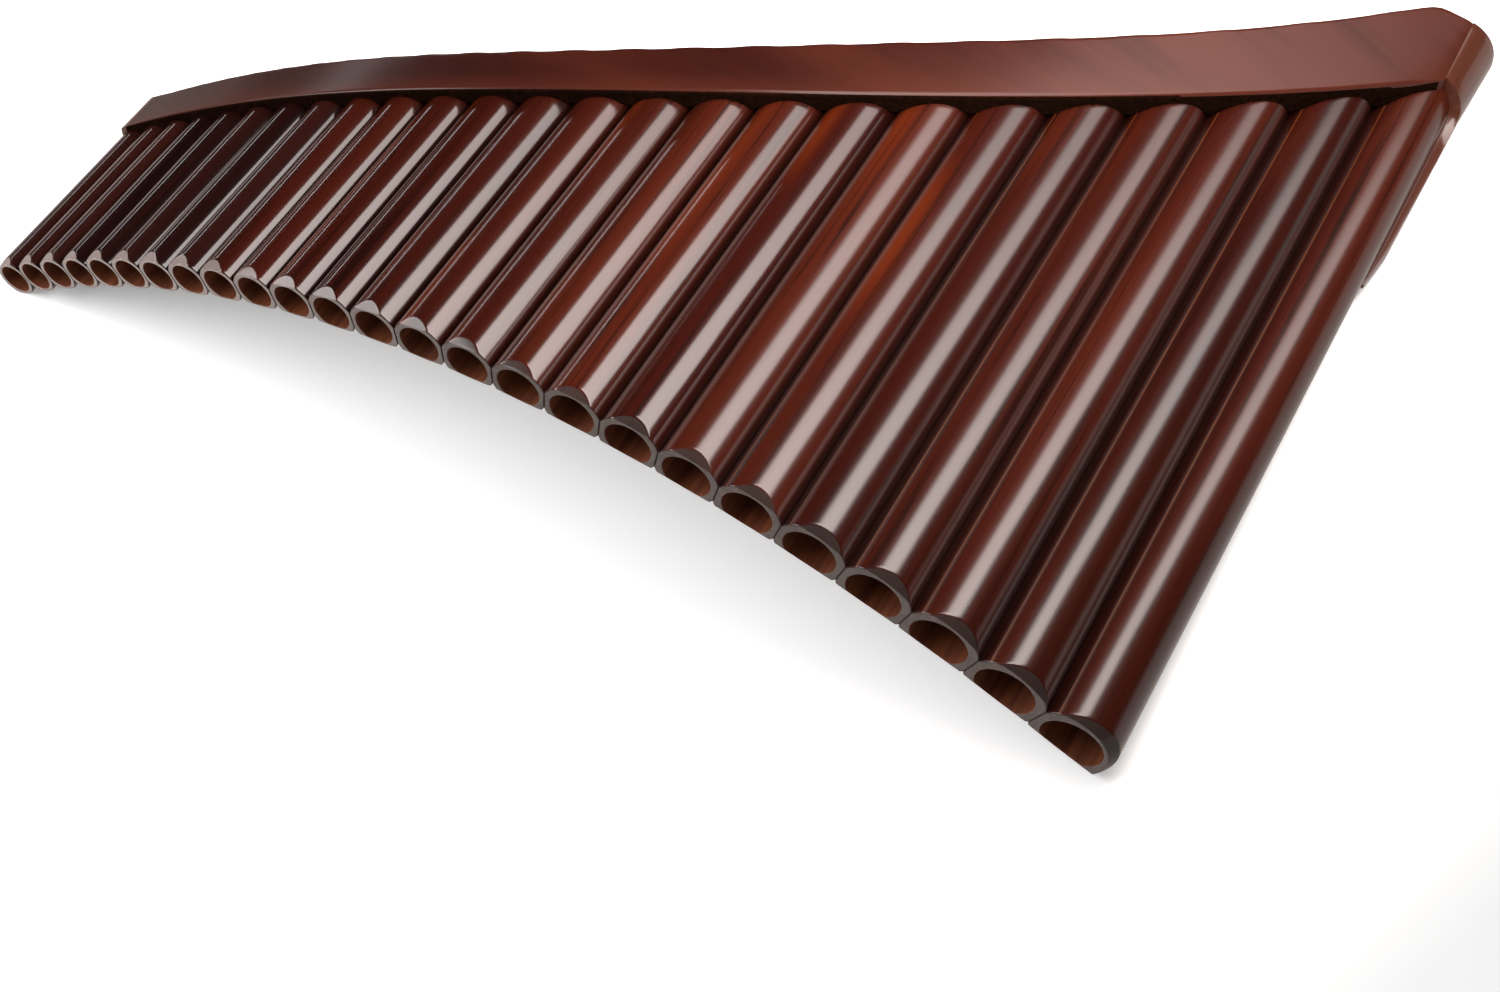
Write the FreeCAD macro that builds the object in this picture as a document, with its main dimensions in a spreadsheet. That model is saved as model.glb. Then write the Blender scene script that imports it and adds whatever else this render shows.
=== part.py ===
import FreeCAD, Part
import math
import os

# Curved pan flute of twenty-five stopped pipes, resting arch side up on a flat surface.
# +X runs along the row from the shortest pipe to the longest, +Y from the mouths to the
# base, +Z up. The origin is on the resting surface, under the middle of the box that
# holds the whole instrument. Millimetres and degrees throughout.

doc = FreeCAD.newDocument("pan_flute")

# ---------------------------------------------------------------- driving dimensions

SIZES = [
    ("pipe_count", 25, "pipes, one for each note"),
    ("treble_radius", 6.65, "outside radius of the shortest pipe"),
    ("bass_radius", 13.3, "outside radius of the longest pipe"),
    ("radius_power", 2.05, "how late along the row the pipes grow thick"),
    ("treble_bore_ratio", 0.78, "bore radius over outside radius, shortest pipe"),
    ("bass_bore_ratio", 0.73, "bore radius over outside radius, longest pipe"),
    ("pitch_ratio", 0.925, "pipe spacing over the sum of two neighbours' radii"),
    ("bow_treble", 34.4, "slope of the arch at its treble end"),
    ("bow_bass", -28.4, "slope of the arch at its bass end"),
    ("bow_fullness", 13.8, "extra slope in the middle of the row"),
    ("bow_skew", 23.0, "extra slope towards the treble, taken off the bass"),
    ("lowest_note", 293.66, "frequency of the longest pipe, hertz"),
    ("sound_speed", 343400.0, "speed of sound in warm breath, mm per second"),
    ("end_correction", 0.6, "length the open mouth adds, over bore radius"),
    ("wax_depth", 2.0, "tuning wax in front of each stopper"),
    ("dish_rim", 0.8, "rim radius of the dish in the wax, over bore radius"),
    ("dish_depth", 1.0, "depth of that dish"),
    ("stopper_length", 4.5, "length of each cork stopper"),
    ("bevel_depth", 0.12, "front bevel's depth at the crest, over pipe radius"),
    ("bevel_angle", 30.0, "front bevel's half angle about the pipe"),
    ("bevel_reach", 12.0, "length of the bevelling cone"),
    ("bevel_disc", 1.6, "radius of the disc round that cone, over pipe radius"),
    ("lip_cut_treble", 0.8125, "height left behind the axis by the lip cut, over radius"),
    ("lip_cut_bass", 0.45, "the same on the longest pipe"),
    ("lip_cut_angle", 60.0, "lip cut's slope away from the mouth plane"),
    ("wall_treble", 2.0, "base rail and cheek thickness at the treble end"),
    ("wall_bass", 5.4, "base rail and cheek thickness at the bass end"),
    ("bed_height", 0.6, "height where the rails' fluted beds stop, over pipe radius"),
    ("sole_depth", 4.0, "base sole, measured along the pipes"),
    ("cheek_joint", 0.65, "rail to cheek joint, outboard of the axis, over radius"),
    ("back_rail_end", 0.5, "back rail's end, inboard of the end pipe's axis, over radius"),
    ("wrap_angle", 105.0, "how far the cheeks wrap round the end pipes"),
    ("cheek_front", 284.0, "bass cheek's front edge above its tongue"),
    ("cheek_sweep", 11.5, "radius of the sweep from the cheek into its tongue"),
    ("tongue_height", 10.0, "top of the tongue where the sweep ends"),
    ("tongue_heel", 275.0, "where the tongue's lower edge leaves the resting surface"),
    ("tongue_tip", 199.0, "tongue's tip, measured from the mouths"),
    ("tongue_tip_low", 5.6, "underside of the tongue's tip"),
    ("tongue_tip_high", 7.8, "top of the tongue's tip"),
    ("tongue_taper", 80.0, "length over which the tongue thins to its tip"),
    ("treble_taper", 9.0, "length over which the treble cheek thins to its front"),
    ("base_corner_across", 180.0, "where the base's outer edge turns at the bass end"),
    ("base_corner_along", 308.3, "the same corner, measured from the mouths"),
    ("base_end_slope", 0.25, "slope of the outer edge beyond that corner"),
    ("edge_treble_front", 66.2, "base's inner edge at the treble end of the row"),
    ("edge_one_front", 74.4, "inner edge at the first station"),
    ("edge_two_front", 95.2, "inner edge at the second station"),
    ("edge_three_front", 135.4, "inner edge at the third station"),
    ("edge_four_front", 199.0, "inner edge at the fourth station"),
    ("edge_bass_front", 291.5, "inner edge at the bass end of the row"),
    ("edge_treble_outer", 82.0, "base's outer edge at the treble end of the row"),
    ("edge_one_outer", 91.8, "outer edge at the first station"),
    ("edge_two_outer", 114.2, "outer edge at the second station"),
    ("edge_three_outer", 160.0, "outer edge at the third station"),
    ("edge_four_outer", 230.6, "outer edge at the fourth station"),
    ("edge_bass_outer", 340.0, "outer edge carried on past the bass end"),
    ("station_start", -200.0, "first edge point, across the row"),
    ("station_step", 80.0, "spacing of the edge points across the row"),
]

sheet = doc.addObject("Spreadsheet::Sheet", "sizes")
for row, (alias, value, meaning) in enumerate(SIZES, start=1):
    sheet.set(f"A{row}", str(value))
    sheet.setAlias(f"A{row}", alias)
    sheet.set(f"B{row}", meaning)
doc.recompute()


def size(alias):
    """The sheet's value for an alias."""
    return float(sheet.get(alias))


PIPE_COUNT = int(size("pipe_count"))
LAST = PIPE_COUNT - 1

# Blocks that only cut reach well past the instrument on every side.
FAR = 260.0
DEEP = 60.0
ABOVE = 120.0
PAST_BASE = 360.0
# Cutting tools start this far outside the face that they cut.
OVERRUN = 1.0

# Semitones above the lowest note of the seven notes of a scale: G major counted from D.
SCALE = [0, 2, 4, 5, 7, 9, 10]
OCTAVE = 12


# ---------------------------------------------------------------- the row of pipes

def share(index):
    """How far along the row a pipe or a joint is, from 0 at the treble to 1 at the bass."""
    return index / LAST


def blend(treble, bass, part):
    return treble + (bass - treble) * part


def pipe_radius(index):
    growth = share(index) ** size("radius_power")
    return blend(size("treble_radius"), size("bass_radius"), growth)


def bore_radius(index):
    ratio = blend(size("treble_bore_ratio"), size("bass_bore_ratio"), share(index))
    return pipe_radius(index) * ratio


def wall_at(index):
    return blend(size("wall_treble"), size("wall_bass"), share(index))


def joint_slope(index):
    """Slope of the line from one pipe's axis to the next one's."""
    part = share(index + 0.5)
    bulge = part * (1 - part)
    straight = blend(size("bow_treble"), size("bow_bass"), part)
    return straight + bulge * (size("bow_fullness") + size("bow_skew") * (1 - 2 * part))


def row_of_axes():
    """Each pipe's axis as (across, up), both end pipes resting on the surface."""
    axes = [(0.0, 0.0)]
    for index in range(LAST):
        pitch = size("pitch_ratio") * (pipe_radius(index) + pipe_radius(index + 1))
        slope = math.radians(joint_slope(index))
        across, up = axes[-1]
        axes.append((across + pitch * math.cos(slope), up + pitch * math.sin(slope)))
    span, rise = axes[-1]
    wanted_rise = pipe_radius(LAST) - pipe_radius(0)
    roll = math.asin(wanted_rise / math.hypot(span, rise)) - math.atan2(rise, span)
    turned = [(x * math.cos(roll) - z * math.sin(roll), x * math.sin(roll) + z * math.cos(roll))
              for x, z in axes]
    middle = turned[-1][0] / 2
    return [(x - middle, z + pipe_radius(0)) for x, z in turned], math.degrees(roll)


AXES, ROLL = row_of_axes()


def pipe_slope(index):
    """Slope of the arch at a pipe: the mean of its two joints, or its only one."""
    before = joint_slope(max(index - 1, 0))
    after = joint_slope(min(index, LAST - 1))
    return (before + after) / 2 + ROLL


def arch_point(index, height):
    """The point at a height above a pipe's axis, square to the arch, in the XZ plane."""
    slope = math.radians(pipe_slope(index))
    across, up = AXES[index]
    return FreeCAD.Vector(across - height * math.sin(slope), 0, up + height * math.cos(slope))


def row_placement(point, slope):
    """Frame on a pipe: X along the row, Y towards the arch's hollow side, Z to the base."""
    angle = math.radians(slope)
    along_row = FreeCAD.Vector(math.cos(angle), 0, math.sin(angle))
    hollow_side = FreeCAD.Vector(math.sin(angle), 0, -math.cos(angle))
    to_base = FreeCAD.Vector(0, 1, 0)
    turn = FreeCAD.Rotation(along_row, hollow_side, to_base, "ZXY")
    return FreeCAD.Placement(point, turn)


def pipe_placement(index):
    across, up = AXES[index]
    return row_placement(FreeCAD.Vector(across, 0, up), pipe_slope(index))


def joint_placement(index):
    """Frame on the glued flat between a pipe and the next one, X square to the flat."""
    here, there = AXES[index], AXES[index + 1]
    pitch = math.hypot(there[0] - here[0], there[1] - here[1])
    reach = (pitch ** 2 + pipe_radius(index) ** 2 - pipe_radius(index + 1) ** 2) / (2 * pitch)
    along = [(b - a) / pitch for a, b in zip(here, there)]
    point = FreeCAD.Vector(here[0] + along[0] * reach, 0, here[1] + along[1] * reach)
    return row_placement(point, math.degrees(math.atan2(along[1], along[0])))


def stopped_depth(index):
    """Mouth to wax: a quarter of the note's wavelength, less the open end's share."""
    octaves, degree = divmod(LAST - index, len(SCALE))
    semitones = octaves * OCTAVE + SCALE[degree]
    pitch = size("lowest_note") * 2 ** (semitones / OCTAVE)
    return size("sound_speed") / (4 * pitch) - size("end_correction") * bore_radius(index)


# ---------------------------------------------------------------- small builders

def bind(thing, **formulas):
    """Bind an object's sizes to the sheet: a word is a formula, a number stays a number."""
    for name, formula in formulas.items():
        if isinstance(formula, str):
            thing.setExpression(name, formula)
        else:
            setattr(thing, name, formula)


def cylinder(name, placement, **sizes):
    thing = doc.addObject("Part::Cylinder", name)
    bind(thing, **sizes)
    thing.Placement = placement
    return thing


def cone(name, placement, **sizes):
    thing = doc.addObject("Part::Cone", name)
    bind(thing, **sizes)
    thing.Placement = placement
    return thing


def box(name, placement, length, width, height):
    thing = doc.addObject("Part::Box", name)
    thing.Length = length
    thing.Width = width
    thing.Height = height
    thing.Placement = placement
    return thing


def world_box(name, low, high):
    """A block between two corners, given as (across, along, up)."""
    spans = [b - a for a, b in zip(low, high)]
    return box(name, FreeCAD.Placement(FreeCAD.Vector(*low), FreeCAD.Rotation()), *spans)


def cut(name, base, tool):
    thing = doc.addObject("Part::Cut", name)
    thing.Base = base
    thing.Tool = tool
    return thing


def common(name, *shapes):
    thing = doc.addObject("Part::MultiCommon", name)
    thing.Shapes = list(shapes)
    return thing


def fuse(name, shapes):
    thing = doc.addObject("Part::MultiFuse", name)
    thing.Shapes = list(shapes)
    return thing


def shift(across=0.0, hollow=0.0, along=0.0):
    return FreeCAD.Placement(FreeCAD.Vector(across, hollow, along), FreeCAD.Rotation())


def extrusion(name, wire, direction, length):
    """A solid block on a closed flat wire."""
    face = doc.addObject("Part::Feature", name + "_face")
    face.Shape = Part.Face(wire)
    thing = doc.addObject("Part::Extrusion", name)
    thing.Base = face
    thing.DirMode = "Custom"
    thing.Dir = direction
    thing.LengthFwd = length
    thing.Solid = True
    return thing


def line(start, end):
    return Part.LineSegment(start, end).toShape()


def spline(points, start_tangent=None, end_tangent=None):
    curve = Part.BSplineCurve()
    if start_tangent is None:
        curve.interpolate(points)
    else:
        curve.interpolate(Points=points, InitialTangent=start_tangent, FinalTangent=end_tangent)
    return curve


def tangent_at(index):
    slope = math.radians(pipe_slope(index))
    return FreeCAD.Vector(math.cos(slope), 0, math.sin(slope))


# ---------------------------------------------------------------- pipes and stoppers

RADIUS_FORMULA = ("(sizes.treble_radius + (sizes.bass_radius - sizes.treble_radius)"
                  " * {part}^sizes.radius_power)")
BORE_FORMULA = ("(sizes.treble_bore_ratio + (sizes.bass_bore_ratio - sizes.treble_bore_ratio)"
                " * {part})")


def radius_formula(index):
    if index == 0:
        return "sizes.treble_radius"
    return RADIUS_FORMULA.format(part=share(index))


def bore_formula(index):
    return radius_formula(index) + " * " + BORE_FORMULA.format(part=share(index))


def bevel_tool(index, name, place):
    """Ring that bevels a mouth: deepest on the arch's crest, nothing at the flanks."""
    radius = radius_formula(index)
    drop = pipe_radius(index) * size("bevel_depth")
    axis = place.multiply(shift(hollow=drop))
    disc = cylinder(name + "_bevel_disc", axis, Radius=radius + " * sizes.bevel_disc",
                    Height="sizes.bevel_reach")
    heart = cone(name + "_bevel_cone", axis, Radius1=radius,
                 Radius2=radius + " + sizes.bevel_reach * tan(sizes.bevel_angle)",
                 Height="sizes.bevel_reach")
    return cut(name + "_bevel", disc, heart)


def lip_tool(index, name, place):
    """Block that slopes the hollow side of a mouth away, where the lower lip rests."""
    ratio = blend(size("lip_cut_treble"), size("lip_cut_bass"), share(index))
    edge = pipe_radius(index) * ratio
    slope = FreeCAD.Rotation(FreeCAD.Vector(1, 0, 0), 90 - size("lip_cut_angle"))
    tilt = FreeCAD.Placement(FreeCAD.Vector(0, edge, 0), slope)
    start = shift(across=-DEEP / 2, hollow=0, along=-DEEP)
    return box(name + "_lip", place.multiply(tilt).multiply(start), DEEP, DEEP, DEEP)


def flat_tool(name, joint, side):
    """Block that planes a pipe flat against its neighbour, on one side of their joint."""
    start = 0 if side > 0 else -DEEP
    corner = shift(across=start, hollow=-DEEP / 2, along=-OVERRUN)
    return box(name, joint_placement(joint).multiply(corner), DEEP, DEEP, PAST_BASE)


def make_pipe(index, beyond_feet):
    """One pipe: bored, stopped short of its foot, flatted, bevelled and cut to the base."""
    name = f"pipe_{index + 1:02d}"
    place = pipe_placement(index)
    stop = stopped_depth(index) + size("wax_depth") + size("stopper_length")
    blank = cylinder(name + "_blank", place, Radius=radius_formula(index), Height=PAST_BASE)
    bore = cylinder(name + "_bore", place.multiply(shift(along=-OVERRUN)),
                    Radius=bore_formula(index), Height=stop + OVERRUN)
    tools = [bore, bevel_tool(index, name, place), lip_tool(index, name, place)]
    if index > 0:
        tools.append(flat_tool(name + "_treble_flat", index - 1, -1))
    if index < LAST:
        tools.append(flat_tool(name + "_bass_flat", index, 1))
    tools.append(beyond_feet)
    solid = blank
    for number, tool in enumerate(tools):
        solid = cut(f"{name}_step_{number}", solid, tool)
    solid.Label = name
    return solid, blank


def make_stopper(index):
    """Cork disc pushed down the bore until its pipe sounds its note."""
    name = f"stopper_{index + 1:02d}"
    place = pipe_placement(index).multiply(shift(along=stopped_depth(index) + size("wax_depth")))
    cork = cylinder(name, place, Radius=bore_formula(index), Height="sizes.stopper_length")
    cork.Label = name
    return cork


def make_wax(index):
    """Layer of beeswax on a stopper, dished where it was pressed home."""
    name = f"wax_{index + 1:02d}"
    place = pipe_placement(index).multiply(shift(along=stopped_depth(index)))
    layer = cylinder(name + "_layer", place, Radius=bore_formula(index), Height="sizes.wax_depth")
    dish = doc.addObject("Part::Sphere", name + "_dish")
    sag = size("dish_depth")
    rim = bore_radius(index) * size("dish_rim")
    ball = (rim ** 2 + sag ** 2) / (2 * sag)
    dish.Radius = ball
    dish.Placement = place.multiply(shift(along=sag - ball))
    return cut(name, layer, dish)


# ---------------------------------------------------------------- base outline

def edge_curve(kind, setback=0.0):
    """One edge of the base seen from above, a fair curve through six stations."""
    names = ["treble", "one", "two", "three", "four", "bass"]
    points = []
    for number, station in enumerate(names):
        across = size("station_start") + number * size("station_step")
        along = size(f"edge_{station}_{kind}") - setback
        points.append(FreeCAD.Vector(across, along, -DEEP))
    return spline(points)


def plan_block(name, curve):
    """Everything on the base side of an edge, as a tall block."""
    first = curve.value(curve.FirstParameter)
    last = curve.value(curve.LastParameter)
    far_last = FreeCAD.Vector(last.x, PAST_BASE + FAR, -DEEP)
    far_first = FreeCAD.Vector(first.x, PAST_BASE + FAR, -DEEP)
    wire = Part.Wire([curve.toShape(), line(last, far_last), line(far_last, far_first),
                      line(far_first, first)])
    return extrusion(name, wire, FreeCAD.Vector(0, 0, 1), DEEP + ABOVE)


def end_block(name, setback=0.0):
    """Everything beyond the base's short outer edge at the bass end."""
    across = size("base_corner_across")
    along = size("base_corner_along") - setback
    slope = size("base_end_slope")
    corners = []
    for x, y in [(across - FAR, along - slope * FAR), (across + FAR, along + slope * FAR),
                 (across + FAR, PAST_BASE + FAR), (across - FAR, PAST_BASE + FAR)]:
        corners.append(FreeCAD.Vector(x, y, -DEEP))
    wire = Part.makePolygon(corners + corners[:1])
    return extrusion(name, wire, FreeCAD.Vector(0, 0, 1), DEEP + ABOVE)


def under_arch(name, heights, low=-DEEP):
    """Block under a curve that stays at a height above every pipe's axis."""
    points = [arch_point(index, heights(index)) for index in range(PIPE_COUNT)]
    start = tangent_at(0)
    finish = tangent_at(LAST)
    curve = spline(points, start, finish)
    left = points[0] - start * ((points[0].x + FAR) / start.x)
    right = points[-1] + finish * ((FAR - points[-1].x) / finish.x)
    left_low = FreeCAD.Vector(left.x, 0, min(low, left.z - DEEP))
    right_low = FreeCAD.Vector(right.x, 0, left_low.z)
    wire = Part.Wire([line(left_low, left), line(left, points[0]), curve.toShape(),
                      line(points[-1], right), line(right, right_low), line(right_low, left_low)])
    return extrusion(name, wire, FreeCAD.Vector(0, 1, 0), PAST_BASE)


def wrap_points(index, side):
    """Arc of a cheek round an end pipe, from its crest down to the resting surface."""
    across, up = AXES[index]
    radius = pipe_radius(index) + wall_at(index)
    crest = -math.radians(pipe_slope(index))
    finish = side * math.radians(size("wrap_angle"))

    def at(angle):
        return FreeCAD.Vector(across + radius * math.sin(angle), 0, up + radius * math.cos(angle))

    low = at(finish)
    run = low.z / abs(math.sin(finish))
    foot = FreeCAD.Vector(low.x + side * run * math.cos(finish), 0, 0)
    return at(crest), at((crest + finish) / 2), low, foot


def arch_block():
    """The base's outside: over the pipes' crests and round both end pipes to the surface."""
    crests = [arch_point(index, pipe_radius(index) + wall_at(index)) for index in range(PIPE_COUNT)]
    over = spline(crests, tangent_at(0), tangent_at(LAST))
    treble_top, treble_side, treble_low, treble_foot = wrap_points(0, -1)
    bass_top, bass_side, bass_low, bass_foot = wrap_points(LAST, 1)
    wire = Part.Wire([
        line(treble_foot, treble_low),
        Part.Arc(treble_low, treble_side, treble_top).toShape(),
        over.toShape(),
        Part.Arc(bass_top, bass_side, bass_low).toShape(),
        line(bass_low, bass_foot),
        line(bass_foot, treble_foot)])
    return extrusion("arch_block", wire, FreeCAD.Vector(0, 1, 0), PAST_BASE)


# ---------------------------------------------------------------- base pieces

def make_rails(blanks, outside, end_edge, past_feet):
    """Front and back rail, fluted to bed on the pipes, and the sole between them."""
    shell = arch_block()
    inner_edge = plan_block("inner_edge_block", edge_curve("front"))
    band = common("base_band", shell, inner_edge)
    band = cut("base_band_outer", band, outside)
    band = cut("base_band_end", band, end_edge)
    pack = cut("pipe_pack_footed", fuse("pipe_pack", blanks), past_feet)
    hollow = under_arch("hollow_block", lambda i: -pipe_radius(i) - wall_at(i))
    under_front_bed = under_arch("front_bed_block", lambda i: size("bed_height") * pipe_radius(i))
    under_back_bed = under_arch("back_bed_block", lambda i: -size("bed_height") * pipe_radius(i))

    treble_joint = AXES[0][0] - size("cheek_joint") * pipe_radius(0)
    bass_joint = AXES[LAST][0] + size("cheek_joint") * pipe_radius(LAST)
    between = world_box("between_cheeks", (treble_joint, 0, -OVERRUN),
                        (bass_joint, PAST_BASE, ABOVE))

    front = cut("front_rail_strip", common("front_rail_span", band, between), under_front_bed)
    front = cut("front_rail_bedded", front, pack)
    front.Label = "base_front_rail"

    back_start = AXES[0][0] + size("back_rail_end") * pipe_radius(0)
    back_finish = AXES[LAST][0] - size("back_rail_end") * pipe_radius(LAST)
    back_span = world_box("back_rail_span", (back_start, 0, 0), (back_finish, PAST_BASE, ABOVE))
    back_room = common("back_rail_room", under_back_bed, back_span)
    back = common("back_rail_strip", cut("band_over_hollow", band, hollow), back_room)
    back = cut("back_rail_bedded", back, pack)
    back.Label = "base_back_rail"

    core = cut("sole_core", common("sole_under_front", band, between, under_front_bed), back_room)
    sole = common("sole_strip", core, past_feet)
    sole.Label = "base_sole"
    return band, [front, back, sole]


def tongue_outline():
    """The bass cheek from the side: a tall block that sweeps down into a slender tongue."""
    front = size("cheek_front")
    sweep = size("cheek_sweep")
    level = size("tongue_height")
    tip = size("tongue_tip")
    low, high = size("tongue_tip_low"), size("tongue_tip_high")
    corner = math.sqrt(0.5) * sweep

    def at(along, up):
        return FreeCAD.Vector(0, along, up)

    nose = (high - low) / 2
    points = [at(PAST_BASE, -OVERRUN), at(PAST_BASE, ABOVE), at(front, ABOVE), at(front, level + sweep)]
    arc = Part.Arc(at(front, level + sweep), at(front - sweep + corner, level + sweep - corner),
                   at(front - sweep, level))
    tip_arc = Part.Arc(at(tip + nose, high), at(tip, (low + high) / 2), at(tip + nose, low))
    heel = at(size("tongue_heel"), -OVERRUN)
    return Part.Wire([line(points[0], points[1]), line(points[1], points[2]),
                      line(points[2], points[3]), arc.toShape(),
                      line(at(front - sweep, level), at(tip + nose, high)), tip_arc.toShape(),
                      line(at(tip + nose, low), heel), line(heel, points[0])])


def taper_tool(name, across, along, length, thickness, side):
    """Block that thins a cheek to a feather edge towards the mouths."""
    angle = math.degrees(math.atan2(thickness, length))
    turn = FreeCAD.Rotation(FreeCAD.Vector(0, 0, 1), -side * angle)
    place = FreeCAD.Placement(FreeCAD.Vector(across, along, -DEEP), turn)
    start = shift(across=0 if side > 0 else -DEEP, hollow=-DEEP)
    return box(name, place.multiply(start), DEEP, DEEP + 2 * length, 2 * DEEP)


def make_bass_cheek(blank, end_edge):
    """Cheek on the longest pipe's outer flank, with its tongue along the pipe."""
    shell = doc.getObject("arch_block")
    joint = AXES[LAST][0] + size("cheek_joint") * pipe_radius(LAST)
    outline = extrusion("tongue_block", tongue_outline(), FreeCAD.Vector(1, 0, 0), FAR)
    outboard = world_box("bass_outboard", (joint, 0, 0), (FAR, PAST_BASE, ABOVE))
    raw = common("bass_cheek_raw", shell, outline, outboard)
    raw = cut("bass_cheek_end", raw, end_edge)
    flank = AXES[LAST][0] + pipe_radius(LAST)
    thinned = taper_tool("tongue_taper", flank, size("tongue_tip") - OVERRUN,
                         size("tongue_taper"), wall_at(LAST), 1)
    raw = cut("bass_cheek_thinned", raw, thinned)
    cheek = cut("bass_cheek_bedded", raw, blank)
    cheek.Label = "bass_end_cheek"
    return cheek


def make_treble_cheek(band, blank):
    """Thin cheek on the shortest pipe's outer flank."""
    joint = AXES[0][0] - size("cheek_joint") * pipe_radius(0)
    outboard = world_box("treble_outboard", (-FAR, 0, 0), (joint, PAST_BASE, ABOVE))
    raw = common("treble_cheek_raw", band, outboard)
    flank = AXES[0][0] - pipe_radius(0)
    thinned = taper_tool("treble_taper", flank, size("edge_treble_front") - OVERRUN,
                         size("treble_taper"), wall_at(0), -1)
    raw = cut("treble_cheek_thinned", raw, thinned)
    cheek = cut("treble_cheek_bedded", raw, blank)
    cheek.Label = "treble_end_cheek"
    return cheek


# ---------------------------------------------------------------- assembly

outside = plan_block("outer_edge_block", edge_curve("outer"))
end_edge = end_block("end_edge_block")
feet = plan_block("feet_block", edge_curve("outer", size("sole_depth")))
feet_end = end_block("feet_end_block", size("sole_depth"))
beyond_feet = fuse("beyond_feet", [feet, feet_end])

parts = []
blanks = []
for index in range(PIPE_COUNT):
    pipe, blank = make_pipe(index, beyond_feet)
    parts.append(pipe)
    blanks.append(blank)

parts += [make_stopper(index) for index in range(PIPE_COUNT)]
wax = doc.addObject("Part::Compound", "tuning_wax")
wax.Links = [make_wax(index) for index in range(PIPE_COUNT)]
wax.Label = "tuning_wax"
parts.append(wax)

band, rails = make_rails(blanks, outside, end_edge, beyond_feet)
parts += rails
parts.append(make_bass_cheek(blanks[LAST], end_edge))
parts.append(make_treble_cheek(band, blanks[0]))
doc.recompute()

# Stand the finished instrument on its origin: the middle of its box, on the surface.
extent = FreeCAD.BoundBox()
for part in parts:
    extent.add(part.Shape.BoundBox)
to_origin = FreeCAD.Placement(FreeCAD.Vector(-extent.Center.x, -extent.Center.y, 0),
                              FreeCAD.Rotation())
for part in parts:
    part.Placement = to_origin.multiply(part.Placement)
doc.recompute()

# ---------------------------------------------------------------- checks and export

for thing in doc.Objects:
    if "Invalid" in thing.State or "Error" in thing.State:
        raise SystemExit(f"{thing.Label} did not build: {thing.State}")
for part in parts:
    if part.Shape.isNull() or not part.Shape.isValid():
        raise SystemExit(f"{part.Label} has no valid shape")

os.makedirs("parts", exist_ok=True)
for part in parts:
    part.Shape.exportStep(f"parts/{part.Label}.step")
    solids = len(part.Shape.Solids)
    print(f"{part.Label}: {solids} solid(s), {part.Shape.Volume / 1000:.2f} cm3")
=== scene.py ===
import math
from collections import namedtuple

import bmesh
import bpy
import numpy as np
from mathutils import Matrix, Vector
from mathutils.bvhtree import BVHTree


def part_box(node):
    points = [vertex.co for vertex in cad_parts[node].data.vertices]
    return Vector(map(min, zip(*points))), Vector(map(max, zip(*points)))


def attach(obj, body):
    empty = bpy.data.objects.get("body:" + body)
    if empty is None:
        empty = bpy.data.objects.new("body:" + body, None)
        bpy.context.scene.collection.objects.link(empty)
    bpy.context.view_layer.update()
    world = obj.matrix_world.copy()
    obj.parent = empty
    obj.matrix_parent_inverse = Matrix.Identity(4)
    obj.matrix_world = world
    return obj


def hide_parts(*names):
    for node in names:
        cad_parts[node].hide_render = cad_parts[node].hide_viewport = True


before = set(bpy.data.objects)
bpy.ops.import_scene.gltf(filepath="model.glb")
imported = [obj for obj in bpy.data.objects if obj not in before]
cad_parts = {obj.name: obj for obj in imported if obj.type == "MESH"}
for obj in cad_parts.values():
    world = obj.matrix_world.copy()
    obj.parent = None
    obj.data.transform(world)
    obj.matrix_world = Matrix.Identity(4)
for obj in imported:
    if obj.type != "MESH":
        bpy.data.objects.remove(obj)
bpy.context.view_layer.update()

MM = 0.001

# The part's own proportions, as the frame was built with them.
PIPE_COUNT = 25
LAST = PIPE_COUNT - 1
WALL_TREBLE, WALL_BASS = 2.0 * MM, 5.4 * MM
BED_HEIGHT = 0.6
CHEEK_JOINT = 0.65
BACK_RAIL_END = 0.5
SOLE_DEPTH = 4.0 * MM
BASE_END_SLOPE = 0.25
LIP_TREBLE, LIP_BASS, LIP_SLOPE = 0.8125, 0.45, math.radians(30)
WRAP_ANGLE = math.radians(105)
CHEEK_FRONT, CHEEK_SWEEP = 284.0 * MM, 11.5 * MM
TONGUE_TOP, TONGUE_HEEL = 10.0 * MM, 263.6 * MM
NOSE_HEIGHT, NOSE_ROUND = 6.7 * MM, 1.1 * MM
TREBLE_TAPER = 9.0 * MM

# Where this model departs from the frame: how far round the end pipes the sole reaches, how much
# shorter the tongue is, and its thickness, which flares from the nose, stays even and then grows.
SOLE_END = 0.97
TONGUE_EASE = 4.0 * MM
TONGUE_FLARE, TONGUE_THICKNESS = 0.11, 2.0 * MM
TONGUE_EVEN_RUN, TONGUE_THICKENING = 18.0 * MM, 0.027


# ---------------------------------------------------------------- the row, read from the frame

Pipe = namedtuple("Pipe", "x z radius bore mouth stop along normal slope")


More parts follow.
